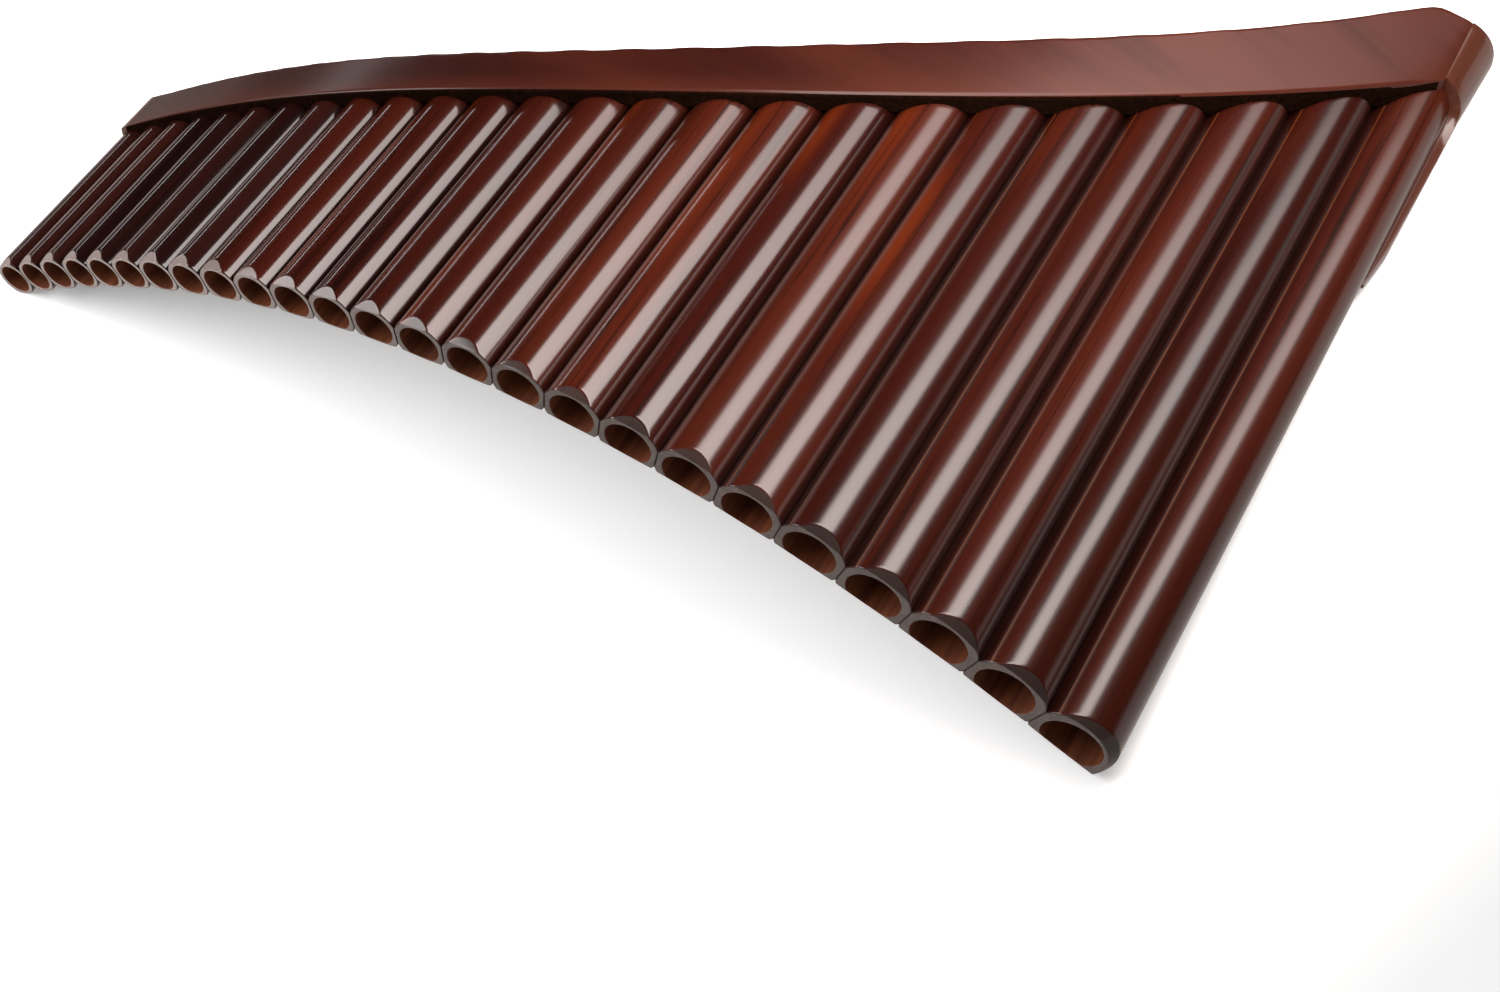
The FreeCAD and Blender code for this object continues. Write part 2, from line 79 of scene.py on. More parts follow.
def read_row():
    """Every pipe's axis and radii: a stopper fills its bore, so its box gives both."""
    found = []
    for number in range(1, PIPE_COUNT + 1):
        low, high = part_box(f"stopper_{number:02d}")
        pipe_low, pipe_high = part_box(f"pipe_{number:02d}")
        x, z = (low.x + high.x) / 2, (low.z + high.z) / 2
        found.append((x, z, pipe_high.z - z, (high.x - low.x) / 2, pipe_low.y, high.y))
    angles = [math.atan2(b[1] - a[1], b[0] - a[0]) for a, b in zip(found, found[1:])]
    row = []
    for index, (x, z, radius, bore, mouth, stop) in enumerate(found):
        slope = (angles[max(index - 1, 0)] + angles[min(index, LAST - 1)]) / 2
        along = Vector((math.cos(slope), 0, math.sin(slope)))
        normal = Vector((-math.sin(slope), 0, math.cos(slope)))
        row.append(Pipe(x, z, radius, bore, mouth, stop, along, normal, slope))
    return row


ROW = read_row()
MOUTH = min(pipe.mouth for pipe in ROW)


def share(index):
    return index / LAST


def blend(a, b, part):
    return a + (b - a) * part


def wall_at(index):
    return blend(WALL_TREBLE, WALL_BASS, share(index))


# ---------------------------------------------------------------- fair curves

class FairCurve:
    """A cubic spline y(x) through points; its ends carry on straight."""

    def __init__(self, xs, ys, start_slope=None, end_slope=None):
        xs, ys = np.array(xs, float), np.array(ys, float)
        count = len(xs)
        step, rise = np.diff(xs), np.diff(ys)
        matrix, right = np.zeros((count, count)), np.zeros(count)
        for i in range(1, count - 1):
            matrix[i, i - 1:i + 2] = step[i - 1], 2 * (step[i - 1] + step[i]), step[i]
            right[i] = 6 * (rise[i] / step[i] - rise[i - 1] / step[i - 1])
        matrix[0, 0] = matrix[-1, -1] = 1
        if start_slope is not None:
            matrix[0, :2] = 2 * step[0], step[0]
            right[0] = 6 * (rise[0] / step[0] - start_slope)
        if end_slope is not None:
            matrix[-1, -2:] = step[-1], 2 * step[-1]
            right[-1] = 6 * (end_slope - rise[-1] / step[-1])
        self.xs, self.ys, self.bend = xs, ys, np.linalg.solve(matrix, right)

    def piece(self, x):
        i = int(np.clip(np.searchsorted(self.xs, x) - 1, 0, len(self.xs) - 2))
        return i, self.xs[i + 1] - self.xs[i]

    def slope(self, x):
        i, step = self.piece(x)
        a, b = (self.xs[i + 1] - x) / step, (x - self.xs[i]) / step
        rise = (self.ys[i + 1] - self.ys[i]) / step
        return rise + step / 6 * ((3 * b * b - 1) * self.bend[i + 1] - (3 * a * a - 1) * self.bend[i])

    def __call__(self, x):
        inside = min(max(x, self.xs[0]), self.xs[-1])
        i, step = self.piece(inside)
        a, b = (self.xs[i + 1] - inside) / step, (inside - self.xs[i]) / step
        y = a * self.ys[i] + b * self.ys[i + 1]
        y += ((a ** 3 - a) * self.bend[i] + (b ** 3 - b) * self.bend[i + 1]) * step ** 2 / 6
        return float(y + (x - inside) * self.slope(inside))


def arch_curve(height):
    """The arch at a height above (or below) every pipe's axis, as z(x)."""
    points = [Vector((p.x, 0, p.z)) + p.normal * height(i) for i, p in enumerate(ROW)]
    return FairCurve([p.x for p in points], [p.z for p in points],
                     math.tan(ROW[0].slope), math.tan(ROW[-1].slope))


over_crests = arch_curve(lambda i: ROW[i].radius + wall_at(i))
front_bed = arch_curve(lambda i: BED_HEIGHT * ROW[i].radius)
back_bed = arch_curve(lambda i: -BED_HEIGHT * ROW[i].radius)
under_hollow = arch_curve(lambda i: -ROW[i].radius - wall_at(i))


def top_of_base(x):
    """The base's outer face: over the crests, then round the end pipes."""
    for index in (0, LAST):
        pipe = ROW[index]
        reach = pipe.radius + wall_at(index)
        crest = pipe.x + reach * pipe.normal.x
        if (index == 0 and x < crest) or (index == LAST and x > crest):
            return pipe.z + math.sqrt(max(reach ** 2 - (x - pipe.x) ** 2, 0))
    return over_crests(x)


def pipe_outline(x, side):
    """Height of the pack of pipes at x: its top with side 1, its underside with side -1."""
    heights = [p.z + side * math.sqrt(p.radius ** 2 - (x - p.x) ** 2)
               for p in ROW if abs(x - p.x) < p.radius]
    return max(heights) if side > 0 else min(heights)


def soft_min(a, b, width):
    """The smaller of two values, blended where they are within width of each other."""
    near = max(0.0, 1 - abs(a - b) / width)
    return min(a, b) - near ** 2 * width / 4


def cast_edges():
    """The base's inner and outer edge seen from above, felt out on the CAD rail."""
    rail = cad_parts["base_front_rail"]
    tree = BVHTree.FromPolygons([v.co for v in rail.data.vertices],
                                [p.vertices for p in rail.data.polygons])
    low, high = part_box("base_front_rail")
    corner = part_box("bass_end_cheek")[1]
    end = lambda x: corner.y - BASE_END_SLOPE * (corner.x - x)
    inner, outer = [], []
    for x in np.linspace(low.x + 0.4 * MM, high.x - 0.4 * MM, 34):
        height = top_of_base(x) - 0.4 * wall_at(LAST * (x - low.x) / (high.x - low.x))
        front = tree.ray_cast(Vector((x, low.y - 0.1, height)), Vector((0, 1, 0)))[0]
        back = tree.ray_cast(Vector((x, high.y + 0.1, height)), Vector((0, -1, 0)))[0]
        inner.append((x, front.y))
        if end(x) - back.y > 2 * MM:
            outer.append((x, back.y))
    curve = FairCurve(*zip(*outer))
    return FairCurve(*zip(*inner)), lambda x: soft_min(curve(x), end(x), 4 * MM)


inner_edge, outer_edge = cast_edges()


# ---------------------------------------------------------------- mesh helpers

def finish_piece(name, mesh_builder, materials, nodes):
    """Turns a bmesh into a piece that stands for some CAD nodes."""
    bmesh.ops.recalc_face_normals(mesh_builder, faces=mesh_builder.faces)
    mesh = bpy.data.meshes.new(name)
    mesh_builder.to_mesh(mesh)
    mesh_builder.free()
    for material in materials:
        mesh.materials.append(material)
    piece = bpy.data.objects.new(name, mesh)
    bpy.context.scene.collection.objects.link(piece)
    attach(piece, "root")
    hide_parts(*nodes)
    return piece


def store(piece, name, values):
    """Keeps a number on each vertex, for the materials."""
    layer = piece.data.attributes.new(name, "FLOAT", "POINT")
    layer.data.foreach_set("value", [float(value) for value in values])


def loft(builder, rings, closed_rings=True, cap_start=True, cap_end=True, materials=None):
    """Quads between rings of points; materials gives an index for each step along."""
    rows = [[builder.verts.new(point) for point in ring] for ring in rings]
    count = len(rows[0])
    span = count if closed_rings else count - 1
    for step, (a, b) in enumerate(zip(rows, rows[1:])):
        for i in range(span):
            j = (i + 1) % count
            face = builder.faces.new((a[i], a[j], b[j], b[i]))
            face.smooth = True
            face.material_index = materials[step] if materials else 0
    for wanted, row in ((cap_start, rows[0]), (cap_end, rows[-1])):
        if wanted:
            face = builder.faces.new(row)
            face.material_index = materials[-1] if materials and row is rows[-1] else 0
            for edge in face.edges:
                edge.smooth = False
    return rows


# ---------------------------------------------------------------- pipes

EDGE_ROUND = 0.28 * MM
RIM_ROUND = 0.22 * MM
TRANSITION = 0.06 * MM
WALL_RINGS, BORE_RINGS = (6.0 * MM, 0.8 * MM), (0.6 * MM, 5.0 * MM)
ANGLE_STEP = 3.0
CHAMFER_FIRST, RIM_FIRST = 3, 7
# how far round a pipe the painted valley shade reaches, in degrees
VALLEY_SHADE_REACH = 30.0

# The chamfer's facing, tightness, level and rise, on the longest pipe and at either end of two runs.
LONGEST_CHAMFER = math.radians(35), 0.42, 0.82, 1.35
HAND_FIRST, HAND_SPAN = 13, 10
HAND_FACING, HAND_TIGHTNESS, HAND_RISE = (-5, 8), (1.0, 0.75), (1.72, 1.25)
SMALL_LAST, SMALL_SPAN = 14, 7
HAND_LEVEL, SMALL_LEVEL, SMALL_RISE = 0.825, 0.78, 2.4

# Which pipes take which lacquer, and how colour, the painted reflection on rims and chamfers, the painted
# glow and the painted reflected line change along the row.
TREBLE_PIPES, UPPER_PIPES, MIDDLE_PIPES = 8, 12, 18
REFLECTION_FROM, REFLECTION_SPAN, REFLECTION_LEAST = 16, 10, 0.12
GLOW_FIRST, GLOW_LAST, GLOW_STRONG, GLOW_WEAK = 8, 19, 0.4, 0.08
REFLECTED_LINE_FROM, REFLECTED_LINE_SPAN = 5, 8
TONE_DARKENED, TONE_DARKENING = 10, 0.9


def joint_reach(index, other):
    """Unit vector to a neighbour's axis, and how far off the shared flat lies."""
    here, there = ROW[index], ROW[other]
    gap = Vector((there.x - here.x, 0, there.z - here.z))
    pitch = gap.length
    reach = (pitch ** 2 + here.radius ** 2 - there.radius ** 2) / (2 * pitch)
    return gap / pitch, reach


def ring_directions(index):
    """Directions round a pipe, from its crest, with one on each edge of its flats."""
    pipe = ROW[index]
    flats = [joint_reach(index, other) for other in (index - 1, index + 1) if 0 <= other <= LAST]
    creases = []
    for toward, reach in flats:
        middle = math.atan2(toward.dot(pipe.along), toward.dot(pipe.normal))
        half = math.acos(reach / pipe.radius)
        creases += [middle - half, middle + half]
    creases = [math.degrees(angle) % 360 for angle in creases]
    plain = [angle for angle in np.arange(0, 360, ANGLE_STEP)
             if all(abs((angle - c + 180) % 360 - 180) > ANGLE_STEP / 2 for c in creases)]
    rows = []
    for angle in sorted(plain + creases):
        a = math.radians(angle)
        direction = pipe.normal * math.cos(a) + pipe.along * math.sin(a)
        outer = pipe.radius
        for toward, reach in flats:
            if direction.dot(toward) > 0:
                outer = min(outer, reach / direction.dot(toward))
        rows.append((direction, outer, angle in creases))
    return rows


def chamfer(index):
    """The hand-cut chamfer at a mouth's crest: where it faces, how tightly it ends, level, rise."""
    if index == LAST:
        return LONGEST_CHAMFER
    part = min(max((index - HAND_FIRST) / HAND_SPAN, 0), 1)
    small = min(max((SMALL_LAST - index) / SMALL_SPAN, 0), 1)
    return (math.radians(blend(*HAND_FACING, part)), blend(*HAND_TIGHTNESS, part),
            blend(HAND_LEVEL, SMALL_LEVEL, small), blend(blend(*HAND_RISE, part), SMALL_RISE, small))


def end_height(index, angle, radius):
    """How far the mouth's end face stands back from the mouth plane at a point."""
    pipe = ROW[index]
    centre, tight, level, rise = chamfer(index)
    bevel = (radius * math.cos(tight * (angle - centre)) - level * pipe.radius) * rise
    lip_edge = pipe.radius * blend(LIP_TREBLE, LIP_BASS, share(index))
    lip = (-radius * math.cos(angle) - lip_edge) * math.tan(LIP_SLOPE)
    return max(bevel, lip, 0.0)


def turning_radius(index, angle, inner, outer):
    """Where the level rim turns into the chamfer or the lip cut."""
    pipe = ROW[index]
    centre, tight, level, rise = chamfer(index)
    bevel = level * pipe.radius / max(math.cos(tight * (angle - centre)), 0.1)
    lip_edge = pipe.radius * blend(LIP_TREBLE, LIP_BASS, share(index))
    crest = math.cos(angle)
    lip = lip_edge / -crest if crest < -1e-3 else bevel
    width = outer - inner
    return min(max(min(bevel, lip), inner + 0.22 * width), outer - 0.12 * width)


def end_profile(index, angle, outer):
    """Radius and setback of the end, from the outer wall over the rim into the bore."""
    pipe = ROW[index]
    turn = turning_radius(index, angle, pipe.bore, outer)
    height = lambda radius: end_height(index, angle, radius)
    points = []
    for step in (90, 68, 45, 22, 0):
        a = math.radians(step)
        radius = outer - EDGE_ROUND * (1 - math.sin(a))
        points.append((radius, height(radius) + EDGE_ROUND * (1 - math.cos(a))))
    for part in (0.33, 0.66):
        radius = blend(outer - EDGE_ROUND, turn, part)
        points.append((radius, height(radius)))
    for radius in (turn + TRANSITION, turn - TRANSITION):
        points.append((radius, height(radius)))
    for part in (0.33, 0.66):
        radius = blend(turn, pipe.bore + RIM_ROUND, part)
        points.append((radius, height(radius)))
    for step in (0, 22, 45, 68, 90):
        a = math.radians(step)
        radius = pipe.bore + RIM_ROUND * (1 - math.sin(a))
        points.append((radius, height(radius) + RIM_ROUND * (1 - math.cos(a))))
    return points


def lacquer_of(index):
    """The shorter the pipe, the glossier its lacquer."""
    if index < TREBLE_PIPES:
        return treble_pipe_wood
    return pipe_wood if index < UPPER_PIPES else middle_pipe_wood if index < MIDDLE_PIPES else bass_pipe_wood


def make_pipe(index):
    """A pipe with softened edges, flats, bevel and lip cut, bored to behind its stopper."""
    pipe = ROW[index]
    builder = bmesh.new()
    columns, creased, rounds = [], [], []
    for direction, outer, crease in ring_directions(index):
        angle = math.atan2(direction.dot(pipe.along), direction.dot(pipe.normal))
        rounds.append(math.degrees(angle))
        profile = end_profile(index, angle, outer)
        start, stop = profile[0][1], profile[-1][1]
        wall_x = pipe.x + direction.x * outer
        foot = outer_edge(wall_x) - SOLE_DEPTH - MOUTH
        outside = [(outer, y) for y in (foot, blend(start, foot, 0.5), start + WALL_RINGS[0],
                                        start + WALL_RINGS[1])]
        deep = pipe.stop - MOUTH
        inside = [(pipe.bore, y) for y in (stop + BORE_RINGS[0], stop + BORE_RINGS[1], deep)]
        column = [Vector((pipe.x, MOUTH + y, pipe.z)) + direction * radius
                  for radius, y in outside + profile + inside]
        columns.append(column)
        creased.append(crease)
    rings = [list(ring) for ring in zip(*columns)]
    ends = (len(outside) + CHAMFER_FIRST, len(outside) + RIM_FIRST, len(outside) + len(profile) - 3)
    zones = [sum(step >= end for end in ends) for step in range(len(rings))]
    rows = loft(builder, rings, materials=zones)
    for a, b in zip(rows, rows[1:]):
        for i, crease in enumerate(creased):
            if crease:
                builder.edges.get((a[i], b[i])).smooth = False
    name = f"pipe_{index + 1:02d}"
    materials = [lacquer_of(index), chamfer_wood, rim_wood, bore_wood]
    piece = finish_piece("turned_" + name, builder, materials, [name])
    # painted shade in the valleys: how near each column lies to a joint, stored as the seam attribute
    seams = [angle for angle, crease in zip(rounds, creased) if crease]
    valley_shading = [max(1 - min(abs(angle - seam) for seam in seams) / VALLEY_SHADE_REACH, 0) for angle in rounds]
    store(piece, "seam", valley_shading * len(rings))
    store(piece, "round", rounds * len(rings))
    # per-pipe tone, and the strengths of the painted reflection, the painted glow and the painted reflected
    # line
    whole = {"tone": TONES[index],
             "painted_reflection": min(max((REFLECTION_FROM - index) / REFLECTION_SPAN, REFLECTION_LEAST), 1),
             "painted_glow": GLOW_STRONG if GLOW_FIRST <= index <= GLOW_LAST else GLOW_WEAK,
             "reflected_line_strength": min(1.0, max(0.0, (index - REFLECTED_LINE_FROM) / REFLECTED_LINE_SPAN))}
    for attribute, value in whole.items():
        store(piece, attribute, [value] * len(piece.data.vertices))


# ---------------------------------------------------------------- rails and sole

JOINT_EASE = 8.0 * MM
FRONT_THINNING = 1.8 * MM
# The painted sheen band along the base's front edge, and the facing past which rail faces take the painted
# shadow.
EDGE_SHEEN_BAND, SHADOW_FACING = 0.45, -0.6
FINE_ROUND, END_SEAM = 0.15 * MM, 0.12 * MM
EDGE_SHARE, EDGE_MOST = 0.42, 1.5 * MM
SOFT_SHARE, SOFT_MOST = 0.6, 2.1 * MM
BED_STEP, STEP_ROUND = 0.1 * MM, 0.03 * MM


def rounded_section(corners, radii, steps=4, fill=5):
    """A cornered outline in (y, z) with rounded corners and points along its sides."""
    points = []
    count = len(corners)
    arcs = []
    for i, corner in enumerate(corners):
        before = (corners[i - 1] - corner).normalized()
        after = (corners[(i + 1) % count] - corner).normalized()
        start, finish = corner + before * radii[i], corner + after * radii[i]
        arc = []
        for step in range(steps + 1):
            part = step / steps
            arc.append(start * (1 - part) ** 2 + corner * 2 * part * (1 - part) + finish * part ** 2)
        arcs.append(arc)
    for i, arc in enumerate(arcs):
        points += arc
        following = arcs[(i + 1) % count][0]
        reach = (following - arc[-1]).length
        near = min(0.5 * MM, 0.1 * reach) / max(reach, 1e-9)
        for part in [near] + [k / fill for k in range(1, fill)] + [1 - near]:
            points.append(arc[-1].lerp(following, part))
    return points


def rail_stations(start, finish):
    """Where a rail is cut across: at steps round every pipe, closest where two outlines meet."""
    marks = {round(start, 6), round(finish, 6)}
    for index, pipe in enumerate(ROW):
        for step in range(-7, 8):
            marks.add(round(pipe.x + pipe.radius * 0.93 * math.sin(math.radians(step * 12)), 6))
    marks = [x for x in sorted(marks) if start <= x <= finish]
    kept = [marks[0]]
    for x in marks[1:-1]:
        if x - kept[-1] > 0.35 * MM and marks[-1] - x > 0.35 * MM:
            kept.append(x)
    return kept + [marks[-1]]


def front_drop(x):
    """How much lower the base's outer face lies at its front edge than at its back edge."""
    return FRONT_THINNING * min(max((x - ROW[0].x) / (ROW[-1].x - ROW[0].x), 0), 1)


def make_rail(name, material, span, top, bottom, front, back, rounds,
              drop=lambda x: 0.0, bed=None):
    """A bent rail between two heights and two plan edges; behind the pipes' feet it reaches its bed."""
    seam = END_SEAM
    start, finish = span
    builder = bmesh.new()
    rings = []
    stations = rail_stations(start + seam, finish - seam)
    for x, inset in [(start, seam)] + [(x, 0.0) for x in stations] + [(finish, seam)]:
        low, high = bottom(x) + inset, top(x) - inset
        near, far = front(x) + inset, back(x) - inset
        limit = 0.42 * (high - drop(x) - low)
        ease = min(max(min(x - start, finish - x) / JOINT_EASE, 0.3), 1.0)
        radii = [min(radius(x) * ease, limit) for radius in rounds]
        feet = far - SOLE_DEPTH + BED_STEP
        if bed and bed(x) < top(x):
            low = max(low, bed(x) + 3 * BED_STEP)
            step = [Vector((far, bed(x) + inset)), Vector((feet, bed(x) + inset)), Vector((feet, low))]
            corners = [Vector((near, high - drop(x))), Vector((far, high))] + step + [Vector((near, low))]
            radii[3:3] = [STEP_ROUND, STEP_ROUND]
        elif bed:
            high = min(high, bed(x) - 3 * BED_STEP)
            step = [Vector((feet, high)), Vector((feet, bed(x) - inset)), Vector((far, bed(x) - inset))]
            corners = [Vector((near, high))] + step + [Vector((far, low)), Vector((near, low))]
            radii[1:1] = [STEP_ROUND, STEP_ROUND]
        else:
            corners = [Vector((near, high)), Vector((far, high)), Vector((far, low)), Vector((near, low))]
        rings.append([Vector((x, p.x, p.y)) for p in rounded_section(corners, radii)])
    loft(builder, rings)
    reach = [(p.y - ring[0].y) / max(back(ring[0].x) - front(ring[0].x), MM) for ring in rings for p in ring]
    piece = finish_piece("bent_" + name, builder, [material, painted_shadow_wood], [name])
    # painted sheen: strongest at the rail's front edge, fading back over part of its depth
    store(piece, "edge_sheen", [max(1 - part / EDGE_SHEEN_BAND, 0) for part in reach])
    # painted shadow: faces turned toward the mouths, under the rail's front edge, take the near-black second
    # material
    for polygon in piece.data.polygons:
        if polygon.normal.y < SHADOW_FACING:
            polygon.material_index = 1
    return piece


def wall_near(x):
    return blend(WALL_TREBLE, WALL_BASS, (x - ROW[0].x) / (ROW[-1].x - ROW[0].x))


def make_rails():
    fine = lambda x: FINE_ROUND
    edge = lambda x: min(EDGE_SHARE * wall_near(x), EDGE_MOST)
    soft = lambda x: min(SOFT_SHARE * wall_near(x), SOFT_MOST)
    joints = (ROW[0].x - CHEEK_JOINT * ROW[0].radius, ROW[-1].x + CHEEK_JOINT * ROW[-1].radius)
    make_rail("base_front_rail", base_wood, joints, top_of_base,
              lambda x: max(front_bed(x), pipe_outline(x, 1)), inner_edge, outer_edge,
              (edge, soft, fine, fine), front_drop, front_bed)
    inboard = (ROW[0].x + BACK_RAIL_END * ROW[0].radius, ROW[-1].x - BACK_RAIL_END * ROW[-1].radius)
    make_rail("base_back_rail", base_wood, inboard,
              lambda x: min(back_bed(x), pipe_outline(x, -1)),
              lambda x: max(under_hollow(x), 0.0), inner_edge, outer_edge,
              (fine, fine, soft, edge), bed=back_bed)
    flanks = (ROW[0].x - SOLE_END * ROW[0].radius, ROW[-1].x + SOLE_END * ROW[-1].radius)
    make_rail("base_sole", base_wood, flanks,
              lambda x: front_bed(x) if joints[0] < x < joints[1] else pipe_outline(x, 1),
              lambda x: back_bed(x) if inboard[0] < x < inboard[1] else pipe_outline(x, -1),
              lambda x: outer_edge(x) - SOLE_DEPTH, lambda x: outer_edge(x) - 0.15 * MM,
              (fine, fine, fine, fine))


# ---------------------------------------------------------------- cheeks

def cheek_faces(index, side, drop=0.0):
    """A cheek's inner and outer face as x(z), and the heights where they turn."""
    pipe = ROW[index]
    joint = pipe.x + side * CHEEK_JOINT * pipe.radius
    full = math.sqrt((pipe.radius + wall_at(index)) ** 2 - (joint - pipe.x) ** 2)
    reach = math.hypot(full - drop, joint - pipe.x)
    low_x = pipe.x + side * reach * math.sin(WRAP_ANGLE)
    low_z = pipe.z + reach * math.cos(WRAP_ANGLE)
    lean = -math.cos(WRAP_ANGLE) / math.sin(WRAP_ANGLE)

    def outer(z):
        if z < low_z:
            return low_x - side * (low_z - z) * lean
        return pipe.x + side * math.sqrt(max(reach ** 2 - (z - pipe.z) ** 2, 0))

    def inner(z):
        bulge = math.sqrt(max(pipe.radius ** 2 - (z - pipe.z) ** 2, 0))
        return pipe.x + side * max(CHEEK_JOINT * pipe.radius, bulge)

    bite = math.sqrt(1 - CHEEK_JOINT ** 2) * pipe.radius
    top = pipe.z + math.sqrt(reach ** 2 - (joint - pipe.x) ** 2)
    return inner, outer, [low_z, pipe.z - bite, pipe.z + bite], top


def heights_between(low, high, marks, step):
    """Heights from low to high, no further apart than step and with the marks among them."""
    stops = [low] + sorted(m for m in marks if low + 0.3 * MM < m < high - 0.3 * MM) + [high]
    heights = [low]
    for a, b in zip(stops, stops[1:]):
        count = max(1, math.ceil((b - a) / step))
        heights += [a + (b - a) * k / count for k in range(1, count + 1)]
    return heights


def plate(name, columns, soften):
    """A closed plate from columns of (inner, outer) points; a column may reach higher than the last."""
    builder = bmesh.new()
    made = [[(builder.verts.new(a), builder.verts.new(b)) for a, b in column] for column in columns]
    rims = []
    for here, there in zip(made, made[1:]):
        count = min(len(here), len(there))
        for r in range(count - 1):
            for k in (0, 1):
                builder.faces.new((here[r][k], here[r + 1][k], there[r + 1][k], there[r][k]))
        rims += [(here[0], there[0]), (here[count - 1], there[count - 1])]
        tall = there if len(there) > len(here) else here
        rims += [(tall[r], tall[r + 1]) for r in range(count - 1, len(tall) - 1)]
    for end in (made[0], made[-1]):
        rims += list(zip(end, end[1:]))
    for a, b in rims:
        builder.faces.new((a[0], b[0], b[1], a[1]))
    bmesh.ops.remove_doubles(builder, verts=builder.verts, dist=0.01 * MM)
    bmesh.ops.recalc_face_normals(builder, faces=builder.faces)
    sharp = [e for e in builder.edges if len(e.link_faces) == 2 and e.calc_face_angle() > math.radians(38)]
    bmesh.ops.bevel(builder, geom=sharp, offset=soften, segments=3, profile=0.5, affect="EDGES",
                    clamp_overlap=True)
    bmesh.ops.dissolve_degenerate(builder, edges=builder.edges, dist=0.005 * MM)
    for face in builder.faces:
        face.smooth = True
    for edge in builder.edges:
        edge.smooth = len(edge.link_faces) == 2 and edge.calc_face_angle() < math.radians(32)
    return finish_piece("shaped_" + name, builder, [cheek_wood], [name])


TONGUE_ROWS, TONGUE_STATIONS, CHEEK_STATIONS, TREBLE_STATIONS = 10, 24, 8, 12
CHEEK_SOFTENING, TREBLE_SOFTENING = 0.55 * MM, 0.3 * MM


def make_bass_cheek():
    """The tall cheek and the slender tongue that it sweeps down into."""
    pipe, corner = ROW[LAST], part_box("bass_end_cheek")[1]
    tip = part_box("bass_end_cheek")[0].y + TONGUE_EASE
    front = MOUTH + CHEEK_FRONT
    inner, outer, marks, top = cheek_faces(LAST, 1, FRONT_THINNING)

    def point_pair(y, z):
        run = y - tip + MM
        thick = min(run * TONGUE_FLARE, TONGUE_THICKNESS)
        thick += max(run - TONGUE_EVEN_RUN, 0) * TONGUE_THICKENING
        limit = pipe.x + pipe.radius + thick
        return Vector((inner(z), y, z)), Vector((min(outer(z), limit), y, z))

    nose_end = tip + NOSE_ROUND
    sides = []
    for step in (18, 36, 54, 72, 90):
        a = math.radians(step)
        half = NOSE_ROUND * math.sin(a)
        sides.append((nose_end - NOSE_ROUND * math.cos(a), NOSE_HEIGHT - half, NOSE_HEIGHT + half))
    sweep_start = front - CHEEK_SWEEP
    heel = MOUTH + TONGUE_HEEL
    straight = [blend(nose_end, sweep_start, k / TONGUE_STATIONS) for k in range(1, TONGUE_STATIONS + 1)]
    curved = [sweep_start + CHEEK_SWEEP * math.sin(math.radians(a)) for a in (15, 30, 45, 58, 70, 81, 90)]
    for y in straight + curved:
        high = blend(NOSE_HEIGHT + NOSE_ROUND, TONGUE_TOP, min((y - nose_end) / (sweep_start - nose_end), 1))
        if y > sweep_start:
            high += CHEEK_SWEEP - math.sqrt(max(CHEEK_SWEEP ** 2 - (y - sweep_start) ** 2, 0))
        low = max(0.0, blend(NOSE_HEIGHT - NOSE_ROUND, 0, (y - nose_end) / (heel - nose_end)))
        sides.append((y, low, high))
    columns = [[point_pair(y, blend(low, high, r / TONGUE_ROWS)) for r in range(TONGUE_ROWS + 1)]
               for y, low, high in sides]
    shared = [r / TONGUE_ROWS * (TONGUE_TOP + CHEEK_SWEEP) for r in range(TONGUE_ROWS + 1)]
    above = heights_between(TONGUE_TOP + CHEEK_SWEEP, top, marks, 0.9 * MM)[1:]
    end = lambda x: corner.y - BASE_END_SLOPE * (corner.x - x)
    columns.pop()  # the cheek's own first column stands in its place
    for k in range(CHEEK_STATIONS + 1):
        part = k / CHEEK_STATIONS
        inner, outer, _, here = cheek_faces(LAST, 1, FRONT_THINNING * (1 - part))
        base = shared[-1]
        column = []
        for z in shared + [base + (z - base) * (here - base) / (top - base) for z in above]:
            column.append([Vector((x, blend(front, end(x), part), z)) for x in (inner(z), outer(z))])
        columns.append(column)
    return plate("bass_end_cheek", columns, CHEEK_SOFTENING)


def make_treble_cheek():
    """The thin cheek round the shortest pipe's outer flank."""
    pipe = ROW[0]
    inner, outer, marks, top = cheek_faces(0, -1)
    heights = heights_between(0.0, top, marks, 0.8 * MM)
    columns = []
    for k in range(TREBLE_STATIONS + 1):
        part = (k / TREBLE_STATIONS) ** 1.3
        column = []
        for z in heights:
            y = blend(inner_edge(inner(z)), outer_edge(inner(z)), part)
            limit = pipe.radius + (y - inner_edge(inner(z)) + MM) * wall_at(0) / TREBLE_TAPER
            x = pipe.x - min(pipe.x - outer(z), limit)
            column.append((Vector((inner(z), y, z)), Vector((x, y, z))))
        columns.append(column)
    return plate("treble_end_cheek", columns, TREBLE_SOFTENING)


# ---------------------------------------------------------------- camera, floor and light

SENSOR_WIDTH, LENS = 36.0, 57.9
CAMERA_PLACE, CAMERA_TURN = (0.2588, -0.4962, 0.5954), (35.86, -0.18, 28.27)
WORLD_STRENGTH, FLOOR_GLOW = 0.37, 0.28
KEY_STRIPS, KEY_REACH = 8, 0.30
KEY_LOW, KEY_HIGH, KEY_RADIANCE = (-0.34, -0.12), (0.20, 0.17), (12.5, 1.9)


def make_camera():
    """Looks down on the row from beyond the longest pipe's mouth."""
    data = bpy.data.cameras.new("camera")
    data.sensor_width = SENSOR_WIDTH
    data.lens = LENS
    camera = bpy.data.objects.new("camera", data)
    camera.location = CAMERA_PLACE
    camera.rotation_euler = [math.radians(angle) for angle in CAMERA_TURN]
    bpy.context.scene.collection.objects.link(camera)
    bpy.context.scene.camera = camera


